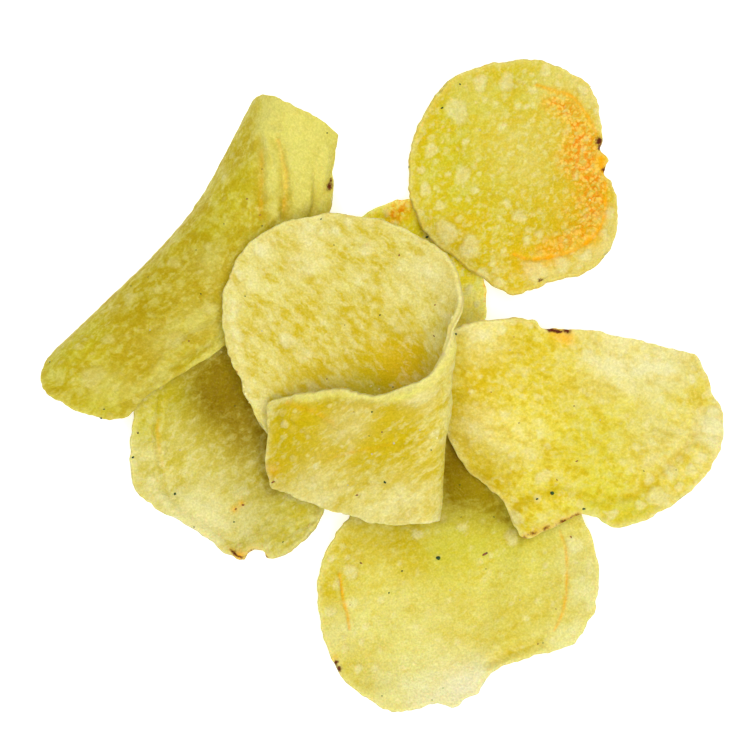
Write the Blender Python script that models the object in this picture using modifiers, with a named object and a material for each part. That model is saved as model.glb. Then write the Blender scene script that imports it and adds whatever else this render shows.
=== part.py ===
"""A loose heap of seven thick-cut potato crisps lying on a flat surface.

Each crisp is one thin closed solid. It starts as a square grid, which is pressed into the outline of
the slice, curled or dished into its fried form, laid in its place in the heap and then thickened.
X runs to the right and Y away from the front of the heap, as seen from above, and Z is up.
The sizes below are in millimetres and the objects in metres.
"""

import math

import bmesh
import bpy
import numpy as np

MM = 0.001
THICKNESS = 1.3
FLAT_GRID = (17, 17)
CURLED_GRID = (22, 26)
ROLLED_GRID = (44, 20)
SPLINE_STEPS = 24
HEAP_SHIFT = (0.7, 0.6)

# The slices' outlines, anticlockwise from above, each measured from the middle of its crisp.
LOWER_LEFT_OUTLINE = [
    (20.0, -10.5), (19.0, 5.0), (14.0, 13.5), (7.0, 20.0), (-0.8, 23.8), (-8.5, 20.5),
    (-16.0, 15.5), (-19.3, 9.5), (-19.8, -3.5), (-17.0, -8.7), (-5.5, -15.7), (0.0, -19.7),
    (3.4, -20.9), (4.6, -19.1), (7.3, -18.9), (8.8, -20.5), (13.5, -18.8),
]
FRONT_OUTLINE = [
    (28.0, 6.0), (22.5, 17.5), (17.5, 23.5), (10.5, 28.0), (3.0, 30.5), (-4.0, 30.0),
    (-11.0, 27.0), (-18.0, 20.0), (-22.5, 12.5), (-28.6, 2.5), (-28.8, -9.8), (-24.2, -21.0),
    (-16.0, -27.2), (-10.0, -27.8), (-5.5, -26.4), (-1.0, -27.2), (1.0, -25.6), (3.8, -24.6),
    (4.8, -22.6), (8.3, -19.2), (18.0, -16.2), (24.2, -13.9), (28.7, -4.8),
]
MIDDLE_OUTLINE = [
    (16.6, 0.0), (9.0, 14.0), (3.0, 17.8), (-1.5, 18.6), (-8.5, 15.4), (-12.5, 11.0),
    (-16.0, 3.0), (-15.5, -5.0), (-12.5, -12.5), (-6.5, -17.5), (2.0, -19.0), (9.0, -17.0),
    (14.0, -12.5),
]
UPPER_RIGHT_OUTLINE = [
    (22.8, -7.0), (22.0, -1.5), (20.0, 0.9), (21.1, 3.9), (19.2, 6.0), (19.8, 8.5),
    (19.0, 15.0), (16.5, 19.9), (8.2, 23.9), (0.5, 24.2), (-11.7, 20.3), (-19.0, 9.5),
    (-20.5, -1.5), (-19.0, -7.5), (-15.5, -13.0), (-2.0, -23.0), (2.5, -24.0), (8.0, -21.8),
    (14.0, -20.3), (18.8, -17.4), (21.9, -12.8),
]
RIGHT_OUTLINE = [
    (31.4, 3.0), (29.8, 6.2), (27.6, 12.0), (24.3, 14.8), (6.0, 19.1), (-5.5, 19.8),
    (-8.5, 21.7), (-19.0, 21.2), (-25.0, 19.0), (-27.0, 13.5), (-28.0, 6.0), (-23.5, -6.5),
    (-14.5, -15.5), (-12.0, -20.0), (-9.0, -23.5), (-0.5, -19.4), (3.3, -18.5), (11.0, -20.8),
    (24.2, -13.8), (31.2, -4.2),
]
# The long crisp is drawn flat, across it from its ridge.
LONG_OUTLINE = [
    (11.6, 35.5), (9.0, 39.9), (-5.2, 38.4), (-11.0, 36.3), (-13.0, 33.0), (-13.5, 20.0),
    (-13.5, 5.0), (-13.5, -10.0), (-13.5, -25.0), (-13.0, -32.0), (-7.0, -37.7), (-1.5, -38.7),
    (6.8, -36.7), (11.0, -34.0), (11.6, -31.0), (11.2, -26.5), (14.1, -16.5), (15.3, -10.5),
    (16.0, 1.5), (16.0, 13.5), (16.5, 25.5),
]
# The rolled crisp is drawn flat, from its left rim to the end of its folded flap.
ROLLED_OUTLINE = [
    (48.0, 23.5), (44.0, 28.0), (35.5, 32.5), (28.5, 34.5), (21.5, 35.0), (13.5, 33.5),
    (7.5, 30.5), (3.0, 25.5), (0.0, 17.5), (0.5, 9.5), (3.0, 2.5), (8.5, -8.5),
    (19.0, -17.5), (38.0, -25.5), (58.0, -28.0), (68.0, -26.5), (81.5, -22.5), (87.0, -19.0),
    (89.5, -8.0), (90.5, -3.5), (84.0, -1.5), (75.5, -0.5), (68.0, -1.5), (58.5, 2.0),
    (54.0, 9.5),
]


def smooth_step(value):
    """0 below 0, 1 above 1, and an even curve between."""
    share = np.clip(value, 0.0, 1.0)
    return share * share * (3.0 - 2.0 * share)


def closed_curve(points):
    """Points along a smooth closed curve through the outline's own points."""
    ring = np.array(points, float)
    step = np.linspace(0.0, 1.0, SPLINE_STEPS, endpoint=False)[:, None]
    spans = []
    for k in range(len(ring)):
        before, start, end, after = (ring[(k + i) % len(ring)] for i in (-1, 0, 1, 2))
        spans.append(
            0.5 * (2 * start + (end - before) * step
                   + (2 * before - 5 * start + 4 * end - after) * step**2
                   + (3 * start - before - 3 * end + after) * step**3)
        )
    return np.vstack(spans)


def outline_sides(outline, corner_pull):
    """The outline as four smooth curves, lower, right, upper and left, that meet in its corners.

    A corner is the point farthest out along a diagonal, and corner_pull weighs across against along.
    """
    ring = closed_curve(outline)
    middle = (ring.max(axis=0) + ring.min(axis=0)) / 2
    reach = (ring - middle) / (ring.max(axis=0) - middle) * (corner_pull, 1.0)
    corners = [int(np.argmax(reach @ toward)) for toward in ((-1, -1), (1, -1), (1, 1), (-1, 1))]
    lower, right, upper, left = (
        ring[np.arange(start, end + (len(ring) if end < start else 0) + 1) % len(ring)]
        for start, end in zip(corners, corners[1:] + corners[:1])
    )
    return lower, right, upper[::-1], left[::-1]


def along_curve(curve, share):
    """Points at shares of the curve's length."""
    run = np.concatenate([[0.0], np.cumsum(np.hypot(*np.diff(curve, axis=0).T))])
    return np.column_stack([np.interp(share * run[-1], run, axis) for axis in curve.T])


def stretch_into_outline(grid, outline, corner_pull):
    """Points of a unit square stretched evenly into the outline, and each point's distance to the rim."""
    u, v = grid[:, :1], grid[:, 1:]
    lower, right, upper, left = outline_sides(outline, corner_pull)
    flat = (1 - v) * along_curve(lower, grid[:, 0]) + v * along_curve(upper, grid[:, 0])
    flat += (1 - u) * along_curve(left, grid[:, 1]) + u * along_curve(right, grid[:, 1])
    flat -= (1 - v) * ((1 - u) * lower[0] + u * lower[-1]) + v * ((1 - u) * upper[0] + u * upper[-1])
    rim = closed_curve(outline)
    inset = np.sqrt(((flat[:, None, :] - rim[None, :, :]) ** 2).sum(axis=2)).min(axis=1)
    return flat, inset


def distance_from_axis(x, y, axis_deg):
    """Distance to the left of a line through the crisp's middle that runs at axis_deg."""
    axis = math.radians(axis_deg)
    return y * math.cos(axis) - x * math.sin(axis)


def roll(distance, radius):
    """Height of a slice rolled about an axis: its sides turn up, or down with a negative radius."""
    return distance**2 / (2 * radius)


def ripple(distance, height, wavelength, start=0.0):
    """Waves across an axis, as a slice buckles in the hot oil."""
    return height * np.sin(2 * math.pi * distance / wavelength + start)


def rim_lift(x, y, inset, height, toward_deg, spread=2.0, width=8.0):
    """A band of the rim turned up on one side of the slice, or down with a negative height."""
    facing = 0.5 + 0.5 * np.cos(np.arctan2(y, x) - math.radians(toward_deg))
    return height * smooth_step(1.0 - inset / width) * facing**spread


def follow_arcs(length, start_deg, arcs):
    """Across and height of a section made of arcs, each a length and the degrees that it turns.

    The section starts at the origin in the direction start_deg above level.
    """
    across, height = np.zeros_like(length), np.zeros_like(length)
    heading = np.full_like(length, math.radians(start_deg))
    rest = length.copy()
    for arc, turn_deg in arcs:
        part = np.clip(rest, 0.0, arc)
        turned = np.deg2rad(turn_deg) * part / arc
        chord = part * np.sinc(turned / (2 * math.pi))
        across += chord * np.cos(heading + turned / 2)
        height += chord * np.sin(heading + turned / 2)
        heading += turned
        rest = rest - part
    return across, height


def lower_left_form(x, y, inset):
    """A shallow dish with its left edge turned up."""
    height = roll(distance_from_axis(x, y, 35.0), 50.0)
    height += roll(distance_from_axis(x, y, 125.0), 130.0)
    height += rim_lift(x, y, inset, 2.2, 190.0, spread=1.5)
    height += rim_lift(x, y, inset, -2.4, 92.0, spread=6.0, width=9.0)
    height += ripple(distance_from_axis(x, y, 60.0), 0.5, 17.0, 0.6)
    return x, y, height


def front_form(x, y, inset):
    """Gently dished, with its left edge raised and its right rim turned down outside a crease."""
    height = roll(distance_from_axis(x, y, 10.0), 75.0)
    height += roll(distance_from_axis(x, y, 100.0), 140.0)
    height += rim_lift(x, y, inset, -1.8, -15.0, spread=4.0, width=7.0)
    height += rim_lift(x, y, inset, 1.5, 190.0)
    height += ripple(distance_from_axis(x, y, 75.0), 0.5, 21.0)
    return x, y, height


def middle_form(x, y, inset):
    """A small slice rolled up at its sides, mostly hidden under the others."""
    height = roll(distance_from_axis(x, y, 60.0), 50.0)
    height += rim_lift(x, y, inset, 1.5, 90.0)
    return x, y, height


def upper_right_form(x, y, inset):
    """A dish with a turned-down lower left edge and a flange along its right side."""
    height = roll(distance_from_axis(x, y, 50.0), 50.0)
    height += roll(distance_from_axis(x, y, 140.0), 90.0)
    height += rim_lift(x, y, inset, -2.6, 222.0, spread=3.0, width=10.0)
    height += rim_lift(x, y, inset, -1.6, -30.0, spread=4.0, width=5.0)
    height += rim_lift(x, y, inset, 1.2, 95.0)
    return x, y, height


def right_form(x, y, inset):
    """A saddle whose front left edge turns down and whose far right rim turns up."""
    height = roll(distance_from_axis(x, y, -52.0), -62.0)
    height += roll(distance_from_axis(x, y, 38.0), 115.0)
    height += rim_lift(x, y, inset, -2.4, 215.0, spread=3.0, width=10.0)
    height += rim_lift(x, y, inset, 1.8, -25.0, spread=3.0, width=7.0)
    height += ripple(distance_from_axis(x, y, 20.0), 0.45, 15.0, 1.0)
    return x, y, height


def long_form(across, along, inset):
    """A long slice curled down tightly on its left and loosely on its right, where its rim kicks up."""
    ridge = 5.1 - np.hypot(0.2 * (along - 9.0), 2.3)
    left_x, left_z = follow_arcs(np.clip(-across, 0.0, None), 0.0, [(13.5, -80.0)])
    right_x, right_z = follow_arcs(np.clip(across, 0.0, None), 0.0, [(9.0, -24.0), (3.0, -20.0), (8.0, 90.0)])
    height = left_z + right_z + 0.5 * np.sin(along / 4.4) * smooth_step((across + 4.0) / 12.0)
    return ridge + right_x - left_x, along.copy(), height


def rolled_form(across, along, inset):
    """A long slice rolled over to the left, so that its end lies as a flap above its own dish."""
    dish, turn_deg = 41.6, 177.0
    radius = 4.4 + 1.9 * smooth_step((along + 28.0) / 38.0) + 9.0 * smooth_step((along - 11.0) / 14.0)
    bend = math.radians(turn_deg) * radius
    side, height = follow_arcs(across, -17.0, [(dish, 24.0), (bend, turn_deg), (50.0, 32.0)])
    side += 0.03 * (along - 13.0) * smooth_step((across - 5.0) / 30.0)
    return side, along.copy(), height


# Each crisp's outline and form, how its grid is divided, and how it lies in the heap: where its own
# middle is in the plan, how far it is turned, its height there and how far it leans along X and along Y.
CRISPS = [
    {"name": "crisp_lower_left", "outline": LOWER_LEFT_OUTLINE, "form": lower_left_form,
     "corner_pull": 1.0, "grid": FLAT_GRID,
     "middle": (-32.0, -15.0), "turn_deg": 0.0, "rise": 0.9, "lean_deg": (2.0, -1.7)},
    {"name": "crisp_front", "outline": FRONT_OUTLINE, "form": front_form,
     "corner_pull": 1.0, "grid": FLAT_GRID,
     "middle": (16.0, -39.0), "turn_deg": 0.0, "rise": 1.0, "lean_deg": (2.3, -1.7)},
    {"name": "crisp_middle", "outline": MIDDLE_OUTLINE, "form": middle_form,
     "corner_pull": 1.0, "grid": FLAT_GRID,
     "middle": (5.0, 20.0), "turn_deg": 0.0, "rise": 0.8, "lean_deg": (-0.5, 0.3)},
    {"name": "crisp_long", "outline": LONG_OUTLINE, "form": long_form,
     "corner_pull": 1.0, "grid": CURLED_GRID,
     "middle": (-39.1, 24.7), "turn_deg": -36.0, "rise": 9.5, "lean_deg": (4.4, -4.4)},
    {"name": "crisp_upper_right", "outline": UPPER_RIGHT_OUTLINE, "form": upper_right_form,
     "corner_pull": 1.0, "grid": FLAT_GRID,
     "middle": (26.0, 43.0), "turn_deg": 0.0, "rise": 1.7, "lean_deg": (-5.8, -5.9)},
    {"name": "crisp_right", "outline": RIGHT_OUTLINE, "form": right_form,
     "corner_pull": 1.0, "grid": FLAT_GRID,
     "middle": (39.0, -8.0), "turn_deg": 0.0, "rise": 9.3, "lean_deg": (-8.5, 2.0)},
    {"name": "crisp_rolled", "outline": ROLLED_OUTLINE, "form": rolled_form,
     "corner_pull": 2.0, "grid": ROLLED_GRID,
     "middle": (-32.7, 0.0), "turn_deg": 0.0, "rise": 8.9, "lean_deg": (11.7, 8.4)},
]


def clear_scene():
    for old in list(bpy.data.objects):
        bpy.data.objects.remove(old)


def crisp_points(crisp, grid):
    """The middle surface of a crisp in its place in the heap, in millimetres."""
    flat, inset = stretch_into_outline(grid, crisp["outline"], crisp["corner_pull"])
    across, along, height = crisp["form"](flat[:, 0], flat[:, 1], inset)
    turn = math.radians(crisp["turn_deg"])
    x = across * math.cos(turn) - along * math.sin(turn)
    y = across * math.sin(turn) + along * math.cos(turn)
    lean = np.tan(np.radians(crisp["lean_deg"]))
    height = height + crisp["rise"] + lean[0] * x + lean[1] * y
    middle = np.array(crisp["middle"]) - HEAP_SHIFT
    return np.column_stack([x + middle[0], y + middle[1], height])


def crisp_material():
    """Fried potato: pale golden yellow with a slight oily gloss."""
    material = bpy.data.materials.new("fried_potato")
    material.use_nodes = True
    shader = material.node_tree.nodes["Principled BSDF"]
    shader.inputs["Base Color"].default_value = (0.73, 0.60, 0.14, 1.0)
    shader.inputs["Roughness"].default_value = 0.45
    shader.inputs["Metallic"].default_value = 0.0
    return material


def make_crisp(crisp, material, collection):
    mesh = bpy.data.meshes.new(crisp["name"])
    shape = bmesh.new()
    bmesh.ops.create_grid(shape, x_segments=crisp["grid"][0], y_segments=crisp["grid"][1], size=0.5)
    grid = np.array([vertex.co[:2] for vertex in shape.verts]) + 0.5
    for vertex, place in zip(shape.verts, crisp_points(crisp, grid) * MM):
        vertex.co = place
    shape.to_mesh(mesh)
    shape.free()
    mesh.materials.append(material)
    mesh.shade_smooth()
    thing = bpy.data.objects.new(crisp["name"], mesh)
    collection.objects.link(thing)
    shell = thing.modifiers.new("thickness", "SOLIDIFY")
    shell.thickness = THICKNESS * MM
    shell.offset = 0.0
    shell.use_even_offset = False
    return thing


def main():
    clear_scene()
    heap = bpy.data.collections.new("heap_of_crisps")
    bpy.context.scene.collection.children.link(heap)
    material = crisp_material()
    for crisp in CRISPS:
        make_crisp(crisp, material, heap)


main()
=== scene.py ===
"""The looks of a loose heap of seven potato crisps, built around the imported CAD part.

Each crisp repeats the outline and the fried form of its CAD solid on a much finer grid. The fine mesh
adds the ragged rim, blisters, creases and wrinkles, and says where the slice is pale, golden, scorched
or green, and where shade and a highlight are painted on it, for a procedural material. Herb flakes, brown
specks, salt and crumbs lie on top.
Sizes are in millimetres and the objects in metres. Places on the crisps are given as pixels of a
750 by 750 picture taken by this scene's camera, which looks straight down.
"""

import math
from functools import partial

import bmesh
import bpy
import numpy as np
from mathutils import Matrix, Vector
from mathutils.bvhtree import BVHTree
from mathutils.kdtree import KDTree


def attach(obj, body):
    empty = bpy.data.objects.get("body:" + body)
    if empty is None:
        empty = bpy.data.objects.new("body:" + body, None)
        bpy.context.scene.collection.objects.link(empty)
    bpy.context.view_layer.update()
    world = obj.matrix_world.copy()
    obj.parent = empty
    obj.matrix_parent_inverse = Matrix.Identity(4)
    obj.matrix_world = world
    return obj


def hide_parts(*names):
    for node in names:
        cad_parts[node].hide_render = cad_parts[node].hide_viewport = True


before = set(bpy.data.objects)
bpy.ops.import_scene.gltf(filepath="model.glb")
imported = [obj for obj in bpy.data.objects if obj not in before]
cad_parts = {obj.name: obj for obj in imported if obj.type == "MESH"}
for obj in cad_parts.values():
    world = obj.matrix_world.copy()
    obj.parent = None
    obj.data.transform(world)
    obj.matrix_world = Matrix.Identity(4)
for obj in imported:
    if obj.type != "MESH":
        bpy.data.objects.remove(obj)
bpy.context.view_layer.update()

MM = 0.001
THICKNESS = 1.3
SPLINE_STEPS = 24
HEAP_SHIFT = (0.7, 0.6)
FLAT_GRID = (160, 160)
SMALL_GRID = (130, 130)
CURLED_GRID = (110, 230)
ROLLED_GRID = (240, 165)
RIM_ROUNDING = 0.32
LOWEST = 0.03
PICTURE = 750
LENS = 135.0
SENSOR = 36.0
CAMERA_PLACE = (-2.14, 1.66, 586.0)

# The slices' outlines, anticlockwise from above, each measured from the middle of its crisp.
LOWER_LEFT_OUTLINE = [(20, -10.5), (19, 5), (14, 13.5), (7, 20), (-0.8, 23.8), (-8.5, 20.5), (-16, 15.5),
    (-19.3, 9.5), (-19.8, -3.5), (-17, -8.7), (-5.5, -15.7), (0, -19.7), (3.4, -20.9), (4.6, -19.1),
    (7.3, -18.9), (8.8, -20.5), (13.5, -18.8)]
FRONT_OUTLINE = [(28, 6), (22.5, 17.5), (17.5, 23.5), (10.5, 28), (3, 30.5), (-4, 30), (-11, 27), (-18, 20),
    (-22.5, 12.5), (-28.6, 2.5), (-28.8, -9.8), (-24.2, -21), (-16, -27.2), (-10, -27.8), (-5.5, -26.4),
    (-1, -27.2), (1, -25.6), (3.8, -24.6), (4.8, -22.6), (8.3, -19.2), (18, -16.2), (24.2, -13.9),
    (28.7, -4.8)]
MIDDLE_OUTLINE = [(16.6, 0), (9, 14), (3, 17.8), (-1.5, 18.6), (-8.5, 15.4), (-12.5, 11), (-16, 3),
    (-15.5, -5), (-12.5, -12.5), (-6.5, -17.5), (2, -19), (9, -17), (14, -12.5)]
UPPER_RIGHT_OUTLINE = [(22.8, -7), (22, -1.5), (20, 0.9), (21.1, 3.9), (19.2, 6), (19.8, 8.5), (19, 15),
    (16.5, 19.9), (8.2, 23.9), (0.5, 24.2), (-11.7, 20.3), (-19, 9.5), (-20.5, -1.5), (-19, -7.5),
    (-15.5, -13), (-2, -23), (2.5, -24), (8, -21.8), (14, -20.3), (18.8, -17.4), (21.9, -12.8)]
RIGHT_OUTLINE = [(31.4, 3), (29.8, 6.2), (27.6, 12), (24.3, 14.8), (6, 19.1), (-5.5, 19.8), (-8.5, 21.7),
    (-19, 21.2), (-25, 19), (-27, 13.5), (-28, 6), (-23.5, -6.5), (-14.5, -15.5), (-12, -20), (-9, -23.5),
    (-0.5, -19.4), (3.3, -18.5), (11, -20.8), (24.2, -13.8), (31.2, -4.2)]
LONG_OUTLINE = [(11.6, 35.5), (9, 39.9), (-5.2, 38.4), (-11, 36.3), (-13, 33), (-13.5, 20), (-13.5, 5),
    (-13.5, -10), (-13.5, -25), (-13, -32), (-7, -37.7), (-1.5, -38.7), (6.8, -36.7), (11, -34),
    (11.6, -31), (11.2, -26.5), (14.1, -16.5), (15.3, -10.5), (16, 1.5), (16, 13.5), (16.5, 25.5)]
ROLLED_OUTLINE = [(48, 23.5), (44, 28), (35.5, 32.5), (28.5, 34.5), (21.5, 35), (13.5, 33.5), (7.5, 30.5),
    (3, 25.5), (0, 17.5), (0.5, 9.5), (3, 2.5), (8.5, -8.5), (19, -17.5), (38, -25.5), (58, -28),
    (68, -26.5), (81.5, -22.5), (87, -19), (89.5, -8), (90.5, -3.5), (84, -1.5), (75.5, -0.5), (68, -1.5),
    (58.5, 2), (54, 9.5)]


# The forms, as in the part's source.


def smooth_step(value):
    """0 below 0, 1 above 1, and an even curve between."""
    share = np.clip(value, 0.0, 1.0)
    return share * share * (3.0 - 2.0 * share)


def closed_curve(points):
    """Points along a smooth closed curve through the outline's own points."""
    ring = np.array(points, float)
    step = np.linspace(0.0, 1.0, SPLINE_STEPS, endpoint=False)[:, None]
    spans = []
    for k in range(len(ring)):
        before, start, end, after = (ring[(k + i) % len(ring)] for i in (-1, 0, 1, 2))
        spans.append(
            0.5 * (2 * start + (end - before) * step
                   + (2 * before - 5 * start + 4 * end - after) * step**2
                   + (3 * start - before - 3 * end + after) * step**3)
        )
    return np.vstack(spans)


def along_curve(curve, share):
    """Points at shares of the curve's length."""
    run = np.concatenate([[0.0], np.cumsum(np.hypot(*np.diff(curve, axis=0).T))])
    return np.column_stack([np.interp(share * run[-1], run, axis) for axis in curve.T])


def distance_from_axis(x, y, axis_deg):
    """Distance to the left of a line through the crisp's middle that runs at axis_deg."""
    axis = math.radians(axis_deg)
    return y * math.cos(axis) - x * math.sin(axis)


def roll(distance, radius):
    """Height of a slice rolled about an axis: its sides turn up, or down with a negative radius."""
    return distance**2 / (2 * radius)


def ripple(distance, height, wavelength, start=0.0):
    """Waves across an axis, as a slice buckles in the hot oil."""
    return height * np.sin(2 * math.pi * distance / wavelength + start)


def rim_lift(x, y, inset, height, toward_deg, spread=2.0, width=8.0):
    """A band of the rim turned up on one side of the slice, or down with a negative height."""
    facing = 0.5 + 0.5 * np.cos(np.arctan2(y, x) - math.radians(toward_deg))
    return height * smooth_step(1.0 - inset / width) * facing**spread


def follow_arcs(length, start_deg, arcs):
    """Across and height of a section made of arcs, each a length and the degrees that it turns."""
    across, height = np.zeros_like(length), np.zeros_like(length)
    heading = np.full_like(length, math.radians(start_deg))
    rest = length.copy()
    for arc, turn_deg in arcs:
        part = np.clip(rest, 0.0, arc)
        turned = np.deg2rad(turn_deg) * part / arc
        chord = part * np.sinc(turned / (2 * math.pi))
        across += chord * np.cos(heading + turned / 2)
        height += chord * np.sin(heading + turned / 2)
        heading += turned
        rest = rest - part
    return across, height


def dished(x, y, inset, rolls, rims, ripples=()):
    """A slice rolled about some axes, with parts of its rim turned up or down and ripples across it."""
    height = np.zeros_like(x)
    for axis_deg, radius in rolls:
        height += roll(distance_from_axis(x, y, axis_deg), radius)
    for rim in rims:
        height += rim_lift(x, y, inset, *rim)
    for axis_deg, *wave in ripples:
        height += ripple(distance_from_axis(x, y, axis_deg), *wave)
    return x, y, height


def long_form(across, along, inset):
    ridge = 5.1 - np.hypot(0.2 * (along - 9.0), 2.3)
    left_x, left_z = follow_arcs(np.clip(-across, 0.0, None), 0.0, [(14.85, -88.0)])
    right_arcs = [(9.0, -24.0), (3.0, -20.0), (8.0, 90.0)]
    right_x, right_z = follow_arcs(np.clip(across, 0.0, None), 0.0, right_arcs)
    height = left_z + right_z + 0.5 * np.sin(along / 4.4) * smooth_step((across + 4.0) / 12.0)
    return ridge + right_x - left_x, along.copy(), height


def rolled_form(across, along, inset):
    dish, turn_deg = 41.6, 177.0
    radius = 4.4 + 1.9 * smooth_step((along + 28.0) / 38.0) + 9.0 * smooth_step((along - 11.0) / 14.0)
    bend = math.radians(turn_deg) * radius
    side, height = follow_arcs(across, -17.0, [(dish, 24.0), (bend, turn_deg), (50.0, 32.0)])
    side += 0.03 * (along - 13.0) * smooth_step((across - 5.0) / 30.0)
    return side, along.copy(), height


# What most crisps share. Tones are 8-bit colours as they look on a screen.
USUAL = {"corner_pull": 1.0, "turn_deg": 0.0, "raised": (236, 229, 168)}

# Two broken edges that browned, as pixels.
NOTCH_EDGE = [(232, 551), (238, 557), (243, 559), (246, 555), (249, 552), (254, 551), (259, 552),
    (263, 556), (267, 559)]
TORN_EDGE = [(525, 537), (538, 531), (555, 524), (567, 519), (579, 516)]

# Each crisp as in the part's source, with its looks. Bubbles are (number on a square centimetre,
# smallest and largest radius in mm), and blisters (x, y, radius in mm). Patches are, by kind,
# (x, y, radius in mm, strength), and lines (width in mm, depth in mm, strength, points).
LOWER_LEFT = {
    "name": "crisp_lower_left", "outline": LOWER_LEFT_OUTLINE, "grid": SMALL_GRID, "middle": (-32, -15),
    "rise": 0.9, "lean_deg": (2, -1.7), "body": (219, 206, 98), "pale": (230, 224, 156),
    "gold": (204, 186, 46), "bubbles": (4, 0.4, 1), "mottle": 0.66, "patchy": 0.35, "seed": 11,
    "grain_deg": 40.0, "drawn_out": 1.5,
    "form": partial(dished, rolls=[(35, 50), (125, 130)], rims=[(2.2, 190, 1.5), (-2.4, 92, 6, 9)],
                    ripples=[(60, 0.5, 17, 0.6)]),
    "blisters": [(178, 520, 1), (199, 531, 0.8), (163, 500, 1.2), (150, 480, 0.9), (219, 540, 1)],
    "patches": {
        # Painted shade where the rolled and the long crisp shade this crisp.
        "painted_shade": [(228, 400, 5, 1), (246, 436, 4, 0.6), (200, 380, 5, 0.5), (225, 372, 4, 0.6)],
        # The dull patches are painted shade on the parts under and beside the rolled crisp.
        "dull_and_painted_shade": [(285, 525, 6, 0.4), (262, 485, 5, 0.4), (245, 460, 5, 0.6), (205, 415, 6, 0.5)],
        "gold": [(215, 420, 6, 0.4), (168, 392, 2.5, 0.7), (205, 400, 6, 0.5), (232, 440, 5, 0.4)],
        "green": [(290, 520, 6, 0.25), (180, 395, 6, 0.3), (138, 430, 3, 0.4)],
        "pale": [(215, 505, 6, 0.6), (188, 512, 3.5, 0.7), (205, 530, 3, 0.6), (142, 450, 2.5, 0.7),
            (148, 485, 2.5, 0.6), (185, 440, 4, 0.35), (255, 520, 4, 0.3)],
        "ember": [(243, 505, 0.5, 0.8), (236, 509, 0.6, 0.7), (240, 555, 0.8, 0.6)],
        "burn": [(235, 553, 0.5, 0.6)],
    },
    "lines": {
        # Painted shadow: a dark band along the rolled crisp's rim, where it shades this crisp.
        "painted_shade": [(1.6, 0, 0.6, [(226, 340), (236, 368), (250, 396), (264, 428), (268, 462), (272, 492)])],
        "gold": [
            (0.5, 0.28, 0.9, [(160, 398), (156, 420), (154, 443), (157, 460), (162, 474)]),
            (0.9, 0.16, 0.35, [(164, 480), (172, 500), (190, 512), (212, 522), (236, 545)]),
            (0.4, 0.16, 0.3, [(262, 545), (280, 528), (300, 518), (316, 512)]),
            (0.4, 0.16, 0.3, [(268, 551), (286, 537), (304, 527), (318, 520)]),
            (0.4, 0.14, 0.25, [(255, 533), (270, 518), (288, 506), (304, 500)]),
        ],
        "pale": [
            (0.9, -0.16, 0.8, [(160, 497), (178, 516), (200, 532), (222, 546)]),
            (1, -0.14, 0.6, [(178, 496), (196, 506), (214, 518), (228, 530)]),
        ],
        "ember": [
            (0.5, 0, 0.5, NOTCH_EDGE),
            (0.35, 0, 0.3, [(157, 420), (156, 435), (157, 452), (160, 466)]),
        ],
        "burn": [(0.3, 0.05, 0.75, NOTCH_EDGE)],
    },
}
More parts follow.
